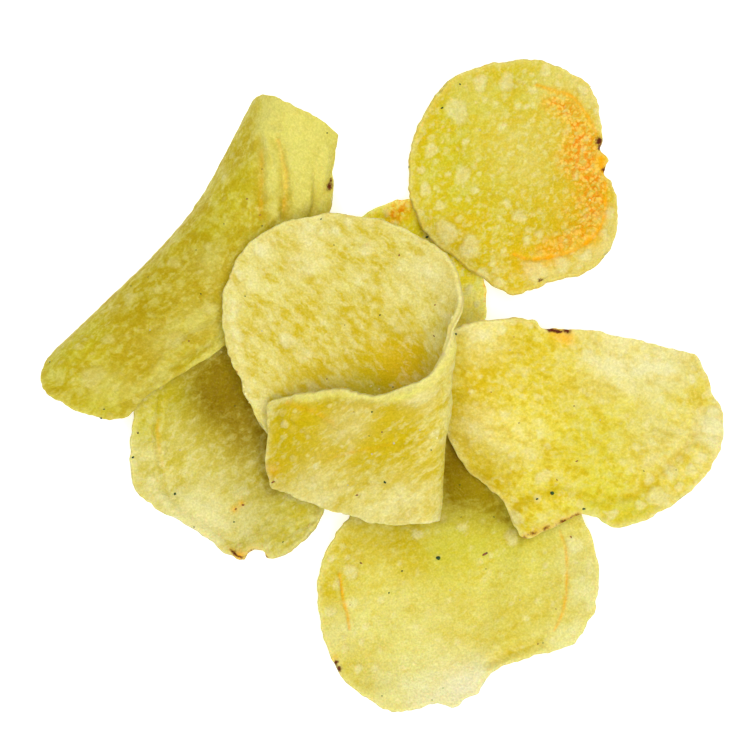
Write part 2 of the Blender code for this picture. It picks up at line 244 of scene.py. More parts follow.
FRONT = {
    "name": "crisp_front", "outline": FRONT_OUTLINE, "grid": FLAT_GRID, "middle": (16, -39), "rise": 1.0,
    "lean_deg": (2.3, -1.7), "body": (227, 217, 106), "pale": (235, 231, 156), "gold": (212, 188, 8),
    "bubbles": (6, 0.35, 0.9), "mottle": 0.22, "patchy": 0.16, "seed": 23, "grain_deg": 20.0,
    "drawn_out": 1.3,
    "form": partial(dished, rolls=[(10, 75), (100, 140)], rims=[(-1.8, -15, 4, 7), (1.5, 190)],
                    ripples=[(75, 0.5, 21)]),
    "blisters": [(574, 544, 1.85), (590, 571, 0.9), (582, 579, 0.8), (585, 591, 0.9), (576, 592, 0.7),
        (511, 536, 1.8), (462, 526, 1.2), (417, 534, 1.4), (349, 571, 1.8), (331, 558, 0.8), (365, 626, 1),
        (351, 603, 1.4), (354, 633, 0.5), (361, 642, 0.8), (376, 669, 1), (358, 670, 1), (329, 612, 1.3),
        (380, 600, 0.8), (545, 566, 0.7), (527, 619, 0.7), (575, 563, 0.6), (588, 608, 0.7),
        (402, 668, 0.7), (343, 650, 0.9), (335, 585, 1)],
    "patches": {
        # Painted shade in the wedge between the rolled crisp's flap and the right crisp.
        "painted_shade": [(456, 462, 4.4, 1), (470, 487, 4.2, 0.7), (492, 512, 3.6, 0.5), (452, 500, 3.4, 0.5)],
        # The dull patch at (456, 462) is painted shade as well; the one at (580, 575) makes the right rim
        # duller in tone.
        "dull_and_painted_shade": [(456, 462, 4.4, 0.7), (580, 575, 6, 0.35)],
        "pale": [(588, 600, 2.6, 0.6), (575, 630, 3, 0.6), (390, 690, 6, 0.6), (440, 694, 7, 0.7),
            (475, 680, 4, 0.8), (430, 640, 8, 0.25), (400, 620, 6, 0.2), (350, 620, 3.5, 0.5),
            (335, 640, 3, 0.5), (585, 570, 4.5, 0.6), (578, 545, 3, 0.5), (588, 592, 3, 0.5),
            (560, 640, 4, 0.6)],
        # Painted highlight: the lower part turns near white, as if blown out by the light.
        "white": [(468, 690, 4.5, 0.75), (425, 706, 4.5, 0.5)],
        "gold": [(414, 550, 4.5, 0.55), (341, 554, 5, 0.5), (400, 538, 4, 0.4), (372, 535, 6, 0.2),
            (325, 590, 2.5, 0.8), (510, 655, 4, 0.2)],
        "green": [(470, 530, 8, 0.4), (440, 560, 5, 0.3), (520, 520, 7, 0.4)],
        "ember": [(334, 658, 0.6, 0.3)],
        "burn": [(336, 662, 0.4, 0.7), (339, 669, 0.5, 0.8)],
    },
    "lines": {
        # Painted shadows along the right crisp's lower left edge and along the flap's bottom edge.
        "painted_shade": [
            (1.5, 0, 0.6, [(449, 440), (470, 474), (490, 500), (506, 520), (522, 538)]),
            (1.2, 0, 0.45, [(443, 520), (410, 523), (370, 519), (345, 515)]),
        ],
        "ember": [
            (0.3, 0.1, 0.7, [(338, 573), (341, 588), (343, 601), (346, 614), (348, 630)]),
            (0.28, 0.1, 0.6, [(559, 532), (564, 541), (566, 550), (567, 565), (567, 579), (566, 590),
                (565, 597), (562, 611), (554, 630)]),
        ],
        "gold": [
            (0.5, 0.1, 0.5, [(560, 536), (567, 552), (568, 580), (564, 605), (554, 630)]),
            (0.45, 0.1, 0.6, [(338, 572), (342, 595), (345, 612), (348, 630)]),
            (0.8, 0.5, 0.5, [(490, 664), (500, 659), (512, 650), (524, 645), (538, 644)]),
        ],
        "burn": [(0.22, 0.05, 0.55, [(333, 656), (335, 663), (339, 670), (343, 676)])],
    },
}
MIDDLE = {
    "name": "crisp_middle", "outline": MIDDLE_OUTLINE, "grid": SMALL_GRID, "middle": (5, 20), "rise": 0.8,
    # Its body, pale and gold tones are set very bright as painted light, making up for the shade of the
    # crisps above it.
    "lean_deg": (-0.5, 0.3), "body": (253, 244, 66), "pale": (244, 242, 168), "gold": (234, 218, 0),
    "bubbles": (9, 0.4, 1.1), "mottle": 0.8, "patchy": 0.6, "seed": 37, "grain_deg": 60.0, "drawn_out": 1.3,
    "form": partial(dished, rolls=[(60, 50)], rims=[(1.5, 90)]),
    "blisters": [(470, 290, 1.1), (478, 305, 0.8), (385, 212, 0.9)],
    "patches": {
        "gold": [(425, 225, 4, 0.8), (385, 212, 3, 0.6), (400, 212, 3, 0.6)],
        "scorch": [(400, 207, 1.9, 0.7), (393, 217, 1.2, 0.4)],
        "green": [(425, 240, 4, 0.25), (480, 285, 3, 0.4)],
        "pale": [(470, 310, 4, 0.5)],
    },
    "lines": {
        "scorch": [(0.25, 0.02, 0.8, [(486, 283), (487, 292), (486, 302)])],
    },
}
LONG = {
    "name": "crisp_long", "outline": LONG_OUTLINE, "form": long_form, "grid": CURLED_GRID,
    "middle": (-39.1, 24.7), "turn_deg": -36.0, "rise": 9.5, "lean_deg": (4.4, -4.4),
    "body": (205, 190, 52), "pale": (221, 212, 112), "gold": (192, 167, 16), "raised": (220, 209, 122),
    "bubbles": (4, 0.4, 0.9), "mottle": 0.68, "patchy": 0.75, "seed": 41, "grain_deg": 90.0,
    "drawn_out": 1.4,
    "blisters": [(210, 247, 1), (176, 263, 1.4), (210, 308, 1.6), (174, 339, 2.2), (94, 377, 2.6),
        (132, 299, 1.2), (160, 290, 0.9), (228, 180, 1.1), (110, 340, 1.3), (82, 350, 1)],
    "patches": {
        "lip": [(285, 115, 5, 0.5), (310, 135, 5, 0.45), (300, 170, 5, 0.3), (272, 170, 2.5, 0.2),
            (315, 200, 3, 0.2)],
        "gold": [(130, 330, 5, 0.5), (190, 285, 5, 0.5), (240, 240, 4, 0.4), (120, 400, 4, 0.4),
            (221, 276, 5, 0.6), (138, 352, 5, 0.6)],
        "pale": [(277, 109, 4, 1), (305, 130, 6, 0.9), (318, 170, 5, 0.6), (296, 180, 2.5, 0.6),
            (270, 180, 1.6, 0.6), (110, 390, 3.5, 0.5), (200, 320, 3.5, 0.6), (210, 262, 2.5, 0.6),
            (160, 345, 3, 0.4)],
        "green": [(210, 234, 3, 0.25), (234, 203, 3, 0.25), (87, 339, 4, 0.3), (100, 405, 4, 0.4),
            (250, 178, 2.5, 0.25), (325, 140, 4, 0.25), (60, 360, 4, 0.25)],
        "burn": [(329, 187, 0.75, 1), (330, 180, 0.45, 0.8)],
        # The dull patches are painted shade on the middle of the slice's left flank.
        "dull_and_painted_shade": [(190, 250, 6, 0.4), (150, 310, 6, 0.4)],
    },
    "lines": {
        "ember": [
            (0.5, 0, 0.3, [(263, 150), (262, 169), (261, 196), (262, 218)]),
            (0.4, 0, 0.3, [(279, 140), (285, 168), (286, 187), (283, 212)]),
        ],
        "gold": [
            (0.4, 0, 0.8, [(268, 126), (272, 140), (280, 152)]),
            (0.8, 0.5, 1.3, [(262, 140), (262, 169), (261, 196), (262, 218)]),
            (0.6, 0.4, 1.2, [(277, 140), (284, 168), (286, 187), (283, 218)]),
            (0.8, 0.3, 0.6, [(276, 138), (283, 168), (286, 187), (283, 218)]),
            (0.6, 0.35, 0.5, [(317, 160), (315, 187), (312, 208)]),
            (0.9, 0.5, 0.6, [(216, 323), (190, 338), (163, 352), (136, 370), (120, 392)]),
            (0.7, 0.3, 0.4, [(212, 300), (190, 306), (170, 322), (150, 330)]),
        ],
        "pale": [
            (1.5, -0.4, 0.9, [(266, 128), (270, 150), (272, 180), (272, 214)]),
            (1.7, -0.4, 0.8, [(290, 140), (299, 165), (301, 190), (297, 214)]),
            (1, -0.3, 0.8, [(324, 150), (322, 180), (320, 206)]),
            (1, -0.3, 0.5, [(222, 334), (196, 348), (170, 362), (146, 380), (136, 400)]),
        ],
        "green": [(0.6, 0.25, 0.7, [(272, 126), (280, 129), (286, 136), (288, 149)])],
    },
}
UPPER_RIGHT = {
    "name": "crisp_upper_right", "outline": UPPER_RIGHT_OUTLINE, "grid": FLAT_GRID, "middle": (26, 43),
    "rise": 1.7, "lean_deg": (-5.8, -5.9), "body": (217, 198, 38), "pale": (231, 218, 132),
    "gold": (220, 189, 4), "bubbles": (14, 0.35, 0.9), "mottle": 0.85, "patchy": 0.7, "seed": 53,
    "grain_deg": 50.0, "drawn_out": 1.2,
    "form": partial(dished, rolls=[(50, 50), (140, 90)],
                    rims=[(-2.6, 222, 3, 10), (-1.6, -30, 4, 5), (1.2, 95)]),
    "blisters": [(506, 81, 2), (480, 82, 1.8), (456, 111, 2.8), (446, 232, 2.7), (470, 248, 2.6),
        (536, 272, 2.7), (562, 265, 2), (461, 175, 2), (500, 127, 1), (465, 141, 0.9), (519, 218, 1.6),
        (482, 277, 1.5), (526, 242, 1), (539, 236, 1), (503, 251, 0.7), (474, 192, 1), (508, 205, 1),
        (527, 106, 0.7), (532, 90, 1), (430, 150, 1.6), (425, 190, 1.5), (545, 70, 1.3), (583, 90, 1.2),
        (598, 110, 1), (609, 215, 1.4), (500, 284, 1.4), (603, 236, 1.2), (586, 256, 1.3), (420, 170, 1),
        (440, 205, 1.2)],
    "patches": {
        "pale": [(540, 82, 4, 0.4), (470, 92, 4, 0.45), (612, 222, 2.2, 1), (604, 250, 2.2, 0.9),
            (580, 264, 2.4, 0.8), (550, 272, 2.4, 0.7), (592, 98, 2.4, 0.9), (570, 82, 2.4, 0.6),
            (602, 122, 1.4, 0.8), (520, 150, 8, 0.4)],
        "green": [(520, 95, 6, 0.3), (472, 95, 5, 0.4), (540, 72, 5, 0.35), (440, 170, 7, 0.45),
            (490, 180, 9, 0.3), (460, 110, 5, 0.4)],
        "gold": [(456, 222, 2.6, 0.6), (520, 262, 3, 0.7), (585, 175, 4, 0.6), (585, 200, 5, 0.6),
            (565, 235, 5, 0.6), (560, 190, 7, 0.5), (580, 130, 5, 0.6), (450, 262, 3, 0.5)],
        "ember": [(526, 262, 2.4, 0.25), (601, 160, 1.4, 0.7), (592, 240, 2, 0.35), (550, 252, 2.2, 0.4)],
        "scorch": [(552, 100, 2, 0.4), (566, 108, 2, 0.5), (578, 122, 2, 0.55), (588, 140, 1.8, 0.5),
            (576, 148, 2.4, 0.7), (590, 165, 2, 0.6), (598, 185, 1.6, 0.7), (583, 175, 2.2, 0.5),
            (598, 206, 1.6, 0.65), (588, 200, 2.2, 0.45), (593, 224, 1.8, 0.55), (580, 236, 2, 0.4),
            (564, 246, 2, 0.5), (546, 252, 2, 0.4), (568, 165, 2.2, 0.35), (570, 215, 3, 0.2)],
        "burn": [(599, 141, 0.75, 1), (600, 148, 0.5, 0.9), (606, 171, 0.6, 1), (540, 281, 0.35, 0.8)],
    },
    "lines": {
        "ember": [
            (0.34, 0.15, 0.8, [(536, 85), (553, 90), (571, 95), (581, 106), (591, 121), (597, 137)]),
            (0.34, 0.2, 0.9, [(600, 158), (604, 179), (605, 196), (604, 217), (597, 234), (584, 246),
                (567, 254), (546, 259), (527, 261), (513, 255)]),
        ],
        "burn": [(0.2, 0.05, 0.45, [(535, 284), (541, 282), (548, 277)])],
        "gold": [(0.9, 0.2, 0.5, [(512, 256), (490, 250), (468, 236), (452, 215)])],
    },
}
RIGHT = {
    "name": "crisp_right", "outline": RIGHT_OUTLINE, "grid": FLAT_GRID, "middle": (39, -8), "rise": 9.3,
    "lean_deg": (-8.5, 2), "body": (236, 221, 82), "pale": (239, 233, 172), "gold": (216, 187, 4),
    "bubbles": (9, 0.35, 1), "mottle": 0.3, "patchy": 0.42, "seed": 67, "grain_deg": -20.0, "drawn_out": 1.3,
    "form": partial(dished, rolls=[(-52, -62), (38, 115)], rims=[(-2.4, 215, 3, 10), (1.8, -25, 3, 7)],
                    ripples=[(20, 0.45, 15, 1)]),
    "blisters": [(670, 473, 1.8), (658, 498, 2.4), (518, 516, 1.6), (648, 479, 1.2), (544, 475, 1.6),
        (588, 355, 1.6), (700, 362, 1.3), (690, 380, 1), (712, 412, 1.5), (716, 428, 1.6), (714, 444, 1.5),
        (640, 505, 1.2), (612, 515, 1.3), (690, 470, 1.3), (702, 458, 1.1), (620, 345, 1), (655, 352, 1.1),
        (500, 330, 1.2), (472, 338, 1), (678, 488, 1)],
    "patches": {
        "pale": [(609, 359, 5.5, 0.8), (481, 336, 3.5, 0.7), (479, 425, 3, 0.7), (668, 366, 5, 0.8),
            (712, 430, 3.5, 1), (660, 440, 6, 0.4), (640, 375, 5, 0.4), (520, 440, 4, 0.3)],
        "gold": [(521, 343, 3, 0.7), (483, 371, 3.5, 0.8), (569, 385, 2, 0.6), (597, 389, 2.5, 0.4),
            (462, 440, 3, 0.8), (494, 488, 3, 0.8), (486, 466, 3.5, 0.7), (452, 405, 3, 0.7),
            (510, 520, 2.5, 0.5), (470, 395, 3, 0.6)],
        # The dull patch is painted shade where the lower left side turns down.
        "dull_and_painted_shade": [(484, 468, 4, 0.5)],
        "ember": [(559, 335, 1.3, 0.45), (567, 338, 1.2, 0.6), (552, 331, 0.9, 0.5)],
        "burn": [(548, 328, 0.7, 0.95), (566, 332, 0.6, 0.85), (556, 331, 0.5, 0.7)],
        "green": [(640, 520, 4, 0.5), (600, 505, 5, 0.4), (600, 440, 8, 0.3), (660, 400, 4, 0.25)],
    },
    "lines": {
        "gold": [
            (0.9, 0.45, 0.9, [(700, 408), (698, 433), (685, 448), (660, 469), (643, 488), (616, 498),
                (590, 500), (576, 494), (555, 492), (538, 496), (525, 500), (510, 507)]),
            (0.35, 0.1, 0.8, [(454, 371), (460, 365), (466, 371), (460, 377), (454, 371)]),
        ],
        "ember": [(0.8, 0, 0.6, TORN_EDGE)],
        "burn": [
            (0.7, 0.08, 0.6, TORN_EDGE),
            (0.3, 0.05, 0.62, [(541, 325), (547, 329), (556, 333), (566, 331)]),
        ],
    },
}
ROLLED = {
    "name": "crisp_rolled", "outline": ROLLED_OUTLINE, "form": rolled_form, "corner_pull": 2.0,
    "grid": ROLLED_GRID, "middle": (-32.7, 0), "rise": 8.9, "lean_deg": (11.7, 8.4),
    "body": (228, 216, 119), "pale": (239, 232, 166), "gold": (211, 185, 24), "bubbles": (5, 0.4, 1),
    "mottle": 0.44, "patchy": 0.42, "seed": 79, "grain_deg": -40.0, "drawn_out": 1.9,
    "blisters": [(308, 228, 1.5), (259, 250, 1.5), (311, 267, 1.8), (367, 248, 1.7), (236, 306, 1.3),
        (238, 335, 1.5), (287, 340, 1.8), (336, 231, 1.2), (348, 221, 1.1), (240, 275, 1.2),
        (452, 320, 1.2), (433, 433, 1), (430, 272, 1.4)],
    # The gold patches at (394, 369), (415, 352) and (385, 372) and the weak ember patch at (402, 368) are
    # painted shade: the golden dark of the pocket under the flap.
    "patches": {
        "gold": [(295, 408, 3, 0.8), (400, 408, 3, 0.6), (300, 440, 5, 0.6), (330, 460, 6, 0.5),
            (400, 450, 7, 0.5), (420, 480, 5, 0.4), (350, 405, 5, 0.5), (394, 369, 6, 0.8),
            (415, 352, 4, 0.8), (385, 372, 4, 0.6), (316, 376, 5, 0.6), (247, 330, 2, 0.6),
            (360, 350, 5, 0.4), (320, 412, 4, 0.6), (400, 425, 6, 0.5), (300, 470, 3, 0.6),
            (278, 464, 2.6, 0.9), (315, 430, 6, 0.6), (290, 425, 4, 0.6), (360, 450, 6, 0.5)],
        "pale": [(352, 420, 3.5, 0.45), (262, 248, 2.5, 0.8), (300, 262, 2.2, 0.8), (250, 282, 2, 0.7),
            (308, 228, 3, 0.7), (430, 272, 4, 0.6), (420, 393, 3, 0.6), (336, 430, 2.6, 0.2),
            (400, 505, 5, 0.7), (320, 488, 5, 0.5)],
        "ember": [(402, 368, 4.5, 0.16), (275, 470, 1.3, 0.45), (234, 373, 0.5, 0.6)],
        "burn": [(234, 373, 0.35, 0.8)],
        "green": [(370, 390, 3, 0.4)],
    },
    "lines": {
        "ember": [
            (0.5, 0, 0.3, [(290, 402), (306, 407), (322, 414), (336, 425)]),
            (0.4, 0, 0.25, [(331, 458), (352, 452), (372, 447), (392, 444)]),
        ],
        "gold": [
            (0.5, 0.2, 0.8, [(307, 410), (325, 424), (348, 436), (370, 446)]),
            (0.45, 0.2, 0.8, [(290, 420), (306, 436), (330, 448)]),
            (0.5, 0.22, 0.8, [(326, 459), (348, 453), (370, 449), (398, 444), (425, 437)]),
            (0.45, 0.2, 0.8, [(331, 488), (358, 484), (384, 482), (394, 488), (399, 497)]),
            (0.9, 0.35, 0.7, [(300, 408), (345, 402), (390, 411), (420, 408), (442, 388)]),
        ],
        "lip": [(1, -0.15, 0.9, [(300, 398), (345, 392), (386, 398), (414, 393), (438, 372), (450, 345)])],
        "pale": [(1.1, -0.2, 0.7, [(232, 300), (233, 330), (240, 360), (250, 390)])],
    },
}
CRISPS = [{**USUAL, **own} for own in (LOWER_LEFT, FRONT, MIDDLE, LONG, UPPER_RIGHT, RIGHT, ROLLED)]


# The surface of a crisp. The kinds are the names of the colours that its material lays over one another.
# Some are painted light: one darkens the colour as painted shade where crisps shade one another, the dull
# tint is partly painted shade, and the white one is a painted highlight.

KINDS = ("pale", "blister", "gold", "scorch", "ember", "burn", "green", "dull_and_painted_shade", "painted_shade", "white", "lip")
SHOWS_THROUGH = 0.6
RIM_CROWDING = 0.085
BUBBLE_RISE = 0.15
PIXELS_NEAR = 2.5
SAME_LAYER = 2.0


def waves(places, wavelength, seed, count=26, heading_deg=0.0, drawn_out=1.0):
    """A smooth random field over the plan, mostly between -2 and 2, drawn out along a heading."""
    source = np.random.default_rng(seed)
    heading = math.radians(heading_deg)
    along = (places[:, 0] * math.cos(heading) + places[:, 1] * math.sin(heading)) / drawn_out
    across = places[:, 1] * math.cos(heading) - places[:, 0] * math.sin(heading)
    total = np.zeros(len(places))
    for _ in range(count):
        toward = source.uniform(0.0, 2 * math.pi)
        length = wavelength * source.uniform(0.7, 1.5)
        start = source.uniform(0.0, 2 * math.pi)
        run = along * math.cos(toward) + across * math.sin(toward)
        total += np.cos(2 * math.pi * run / length + start)
    return total * math.sqrt(2.0 / count)


def ragged_ring(crisp):
    """The slice's outline with the small bumps of a fried rim."""
    ring = closed_curve(crisp["outline"])
    ahead = np.roll(ring, -1, axis=0) - np.roll(ring, 1, axis=0)
    outward = np.column_stack([ahead[:, 1], -ahead[:, 0]]) / np.hypot(*ahead.T)[:, None]
    bumps = 0.10 * waves(ring, 4.5, crisp["seed"] + 1) + 0.06 * waves(ring, 1.7, crisp["seed"] + 2)
    return ring + outward * bumps[:, None]


def stretch_into_ring(grid, ring, plain_ring, corner_pull):
    """Points of a unit square stretched evenly into a ring, with corners chosen as in the part's source."""
    middle = (plain_ring.max(axis=0) + plain_ring.min(axis=0)) / 2
    reach = (plain_ring - middle) / (plain_ring.max(axis=0) - middle) * (corner_pull, 1.0)
    corners = [int(np.argmax(reach @ toward)) for toward in ((-1, -1), (1, -1), (1, 1), (-1, 1))]
    lower, right, upper, left = (
        ring[np.arange(start, end + (len(ring) if end < start else 0) + 1) % len(ring)]
        for start, end in zip(corners, corners[1:] + corners[:1])
    )
    upper, left = upper[::-1], left[::-1]
    u, v = grid[:, :1], grid[:, 1:]
    flat = (1 - v) * along_curve(lower, grid[:, 0]) + v * along_curve(upper, grid[:, 0])
    flat += (1 - u) * along_curve(left, grid[:, 1]) + u * along_curve(right, grid[:, 1])
    flat -= (1 - v) * ((1 - u) * lower[0] + u * lower[-1]) + v * ((1 - u) * upper[0] + u * upper[-1])
    return flat


def nearest_finder(points):
    tree = KDTree(len(points))
    for k, point in enumerate(points):
        tree.insert((*point, 0.0), k)
    tree.balance()
    return tree


def distances_to(tree, places):
    return np.array([tree.find((x, y, 0.0))[2] for x, y in places])


def finely(curve, spacing, closed=False):
    """The curve with points at even small steps."""
    if closed:
        curve = np.vstack([curve, curve[:1]])
    length = np.hypot(*np.diff(curve, axis=0).T).sum()
    return along_curve(curve, np.linspace(0.0, 1.0, max(2, int(length / spacing))))


def rounded(curve, rounds=3):
    """The open curve with its corners cut until it is smooth."""
    for _ in range(rounds):
        cut = np.column_stack([0.75 * curve[:-1] + 0.25 * curve[1:], 0.25 * curve[:-1] + 0.75 * curve[1:]])
        curve = np.vstack([curve[:1], cut.reshape(-1, 2), curve[-1:]])
    return curve


def lay_in_heap(crisp, flat, inset):
    """Points of the slice's middle surface in their place in the heap, in millimetres."""
    across, along, height = crisp["form"](flat[:, 0], flat[:, 1], inset)
    turn = math.radians(crisp["turn_deg"])
    x = across * math.cos(turn) - along * math.sin(turn)
    y = across * math.sin(turn) + along * math.cos(turn)
    lean = np.tan(np.radians(crisp["lean_deg"]))
    height = height + crisp["rise"] + lean[0] * x + lean[1] * y
    middle = np.array(crisp["middle"]) - HEAP_SHIFT
    return np.column_stack([x + middle[0], y + middle[1], height])


def surface_normals(crisp, flat, rim_tree, step=0.15):
    """Unit normals of the middle surface, on the side that is up where the slice lies flat."""
    tangents = []
    for shift in ((step, 0.0), (0.0, step)):
        ends = [lay_in_heap(crisp, place, distances_to(rim_tree, place))
                for place in (flat + shift, flat - shift)]
        tangents.append(ends[0] - ends[1])
    normal = np.cross(*tangents)
    return normal / np.linalg.norm(normal, axis=1)[:, None]


def in_picture(points):
    """Where the camera sees points given in millimetres, as pixels."""
    offset = points - CAMERA_PLACE
    scale = PICTURE * LENS / SENSOR / -offset[:, 2]
    return np.column_stack([PICTURE / 2 + offset[:, 0] * scale, PICTURE / 2 - offset[:, 1] * scale])


def find_spot(seen, points, flat, normals, x, y):
    """The place on the flat slice that shows at a pixel, and the side that shows there: 0 upper, 1 under."""
    away = np.hypot(seen[:, 0] - x, seen[:, 1] - y)
    near = np.flatnonzero(away < away.min() + PIXELS_NEAR)
    top = points[near, 2].max()
    near = near[points[near, 2] > top - SAME_LAYER]
    best = near[np.argmin(away[near])]
    return flat[best], int(normals[best, 2] <= 0.0)


def pillow(flat, place, radius, source):
    """0 outside a wobbly disc and 1 over its middle."""
    offset = flat - place
    distance = np.hypot(offset[:, 0], offset[:, 1])
    near = distance < 1.35 * radius
    angle = np.arctan2(offset[near, 1], offset[near, 0])
    first, second = source.uniform(0.0, 2 * math.pi, 2)
    edge = radius * (1.0 + 0.14 * np.cos(2 * angle + first) + 0.1 * np.cos(3 * angle + second)
                     + 0.04 * np.cos(5 * angle + first))
    form = np.zeros(len(flat))
    form[near] = smooth_step((1.08 - distance[near] / edge) * 2.3)
    return form


def free_discs(source, low, high, count, smallest, largest, taken):
    """Seeded discs in a box, each clear of the ones already taken, as (x, y, radius)."""
    known = np.array(taken, float).reshape(-1, 3)
    first = len(known)
    for _ in range(2 * count):
        radius = smallest + (largest - smallest) * source.uniform() ** 2
        x, y = source.uniform(low, high)
        if (np.hypot(known[:, 0] - x, known[:, 1] - y) > 0.92 * (known[:, 2] + radius)).all():
            known = np.vstack([known, (x, y, radius)])
        if len(known) == first + count:
            break
    return known[first:]


def add_bubbles(look, bubbles, flat, taken, source):
    """Seeded little bubbles all over one side, clear of the blisters at named places."""
    per_cm2, smallest, largest = bubbles
    low, high = flat.min(axis=0), flat.max(axis=0)
    count = int(per_cm2 * np.prod(high - low) / 100.0)
    for x, y, radius in free_discs(source, low, high, count, smallest, largest, taken):
        form = pillow(flat, (x, y), radius, source)
        look["relief"] += form * radius * BUBBLE_RISE
        look["blister"] = np.maximum(look["blister"], form * source.uniform(0.3, 0.75))


def add_line(looks, kind, line, find, flat, seed):
    """A streak of colour in a soft groove with raised sides, along a smooth curve through named spots."""
    width, depth, strength, marks = line
    spots = [find(x, y) for x, y in marks]
    curve = finely(rounded(np.array([place for place, _ in spots])), 0.2)
    away = distances_to(nearest_finder(curve), flat) / width
    look = looks[spots[len(spots) // 2][1]]
    look[kind] += strength * np.exp(-away**2) * (0.8 + 0.25 * waves(flat, 2.2, seed))
    look["relief"] -= depth * np.exp(-0.6 * away**2)
    look["relief"] += 0.5 * depth * np.exp(-((away - 2.2) ** 2))


def surface_looks(crisp, points, flat, normals):
    """Relief in millimetres and the shares of each colour, for the upper and the under side."""
    seed = crisp["seed"]
    source = np.random.default_rng(seed)
    find = partial(find_spot, in_picture(points), points, flat, normals)
    looks = []
    for side_seed in (seed + 100, seed + 200):
        look = {kind: np.zeros(len(flat)) for kind in KINDS}
        look["relief"] = 0.03 * waves(flat, 3.4, side_seed + 1) + 0.02 * waves(flat, 1.5, side_seed + 2)
        taken = [(*find(x, y)[0], radius) for x, y, radius in crisp["blisters"]]
        add_bubbles(look, crisp["bubbles"], flat, taken, source)
        looks.append(look)
    for x, y, radius in crisp["blisters"]:
        place, side = find(x, y)
        form = pillow(flat, place, radius, source)
        looks[side]["relief"] += form * (0.08 + 0.1 * radius)
        looks[side]["blister"] = np.maximum(looks[side]["blister"], 0.85 * form)
    for kind, patches in crisp["patches"].items():
        for x, y, radius, strength in patches:
            place, side = find(x, y)
            away = np.hypot(*(flat - place).T) / radius
            spread = strength * np.exp(-0.7 * away**2)
            looks[side][kind] += spread
            looks[1 - side][kind] += SHOWS_THROUGH * spread
    for kind, lines in crisp["lines"].items():
        for line in lines:
            add_line(looks, kind, line, find, flat, seed + 9)
    return looks


def add_values(mesh, name, kind, field, values):
    """Values for each point of the mesh, which the material reads by name."""
    layer = mesh.attributes.new(name, kind, "POINT")
    layer.data.foreach_set(field, values.astype(np.float32).ravel())


def new_object(name, mesh, material):
    mesh.materials.append(material)
    piece = bpy.data.objects.new(name, mesh)
    bpy.context.scene.collection.objects.link(piece)
    return piece


def make_crisp(crisp, material):
    """One fried slice, whose upper and under side share the points of the rim."""
    share = 1.0
    columns, rows = (int(size * share) for size in crisp["grid"])
    even_u, even_v = np.meshgrid(np.linspace(0, 1, columns), np.linspace(0, 1, rows))
    grid = np.column_stack([even_u.ravel(), even_v.ravel()])
    grid -= RIM_CROWDING * np.sin(2 * math.pi * grid)
    ring = ragged_ring(crisp)
    flat = stretch_into_ring(grid, ring, closed_curve(crisp["outline"]), crisp["corner_pull"])
    rim_tree = nearest_finder(finely(ring, 0.06, closed=True))
    inset = distances_to(rim_tree, flat)
    points = lay_in_heap(crisp, flat, inset)
    normals = surface_normals(crisp, flat, rim_tree)
    looks = surface_looks(crisp, points, flat, normals)

    border = np.ones((rows, columns), bool)
    border[1:-1, 1:-1] = False
    border = border.ravel()
    inner = np.flatnonzero(~border)
    inset[border] = 0.0
    near_rim = np.clip(inset / RIM_ROUNDING, 0.0, 1.0)
    half = THICKNESS / 2 * np.sqrt(1.0 - (1.0 - near_rim) ** 2)
    lumps = 0.2 * waves(flat, 11.0, crisp["seed"] + 3) + 0.06 * waves(flat, 6.0, crisp["seed"] + 4)
    lumps *= smooth_step(inset / 3.0)
    upper = points + normals * (lumps + half + looks[0]["relief"] * near_rim)[:, None]
    under = points + normals * (lumps - half - looks[1]["relief"] * near_rim)[:, None]
    vertices = np.vstack([upper, under[inner]])
    vertices[:, 2] = np.maximum(vertices[:, 2], LOWEST)

    under_index = np.arange(len(points))
    under_index[inner] = len(points) + np.arange(len(inner))
    corner = np.arange(rows * columns).reshape(rows, columns)
    quads = np.stack([corner[:-1, :-1], corner[:-1, 1:], corner[1:, 1:], corner[1:, :-1]], axis=-1)
    quads = quads.reshape(-1, 4)
    faces = np.vstack([quads, under_index[quads][:, ::-1]])

    mesh = bpy.data.meshes.new(crisp["name"] + "_fried")
    mesh.vertices.add(len(vertices))
    mesh.vertices.foreach_set("co", (vertices * MM).ravel())
    mesh.loops.add(faces.size)
    mesh.loops.foreach_set("vertex_index", faces.ravel())
    mesh.polygons.add(len(faces))
    mesh.polygons.foreach_set("loop_start", np.arange(0, faces.size, 4))
    mesh.update(calc_edges=True)
    mesh.shade_smooth()
    for kind in KINDS:
        add_values(mesh, kind, "FLOAT", "value", np.concatenate([looks[0][kind], looks[1][kind][inner]]))
    rim = np.exp(-(np.concatenate([inset, inset[inner]]) / 0.9) ** 2)
    add_values(mesh, "rim", "FLOAT", "value", rim)
    sheet = np.vstack([np.column_stack([flat, np.full(len(flat), crisp["seed"])]),
                       np.column_stack([flat[inner], np.full(len(inner), crisp["seed"] + 300.0)])])
    add_values(mesh, "sheet", "FLOAT_VECTOR", "vector", sheet)
    piece = new_object(crisp["name"] + "_fried", mesh, material)
    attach(piece, "root")
    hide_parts(crisp["name"])
    return piece


# Materials.

# What the sheen adds to every colour, and the share of the light that a crisp's own colour has to return.
GLOSS = 0.003
LIGHT_SHARE = 0.92
# The white tone is a painted highlight where a crisp's lower part is blown out.
TONES = {"scorch": (238, 150, 0), "honey": (252, 220, 104), "ember": (248, 184, 0), "burn": (104, 50, 8),
         "green": (205, 203, 34), "white": (240, 235, 200), "lip": (232, 225, 118)}
# Painted shade: tints that darken a colour where crisps shade one another and take nearly all of its blue.
# The second, duller tint is partly painted shade and partly a duller tone.
PAINTED_SHADE_TINTS = {"painted_shade": (0.5, 0.4, 0.0, 1.0), "dull_and_painted_shade": (0.8, 0.75, 0.55, 1.0)}


def linear(tone, share=1.0):
    """A colour given as it looks on a screen, as the light that a surface returns."""
    return tuple(max(0.004, share * (value / 255.0) ** 2.2 - GLOSS) for value in tone) + (1.0,)


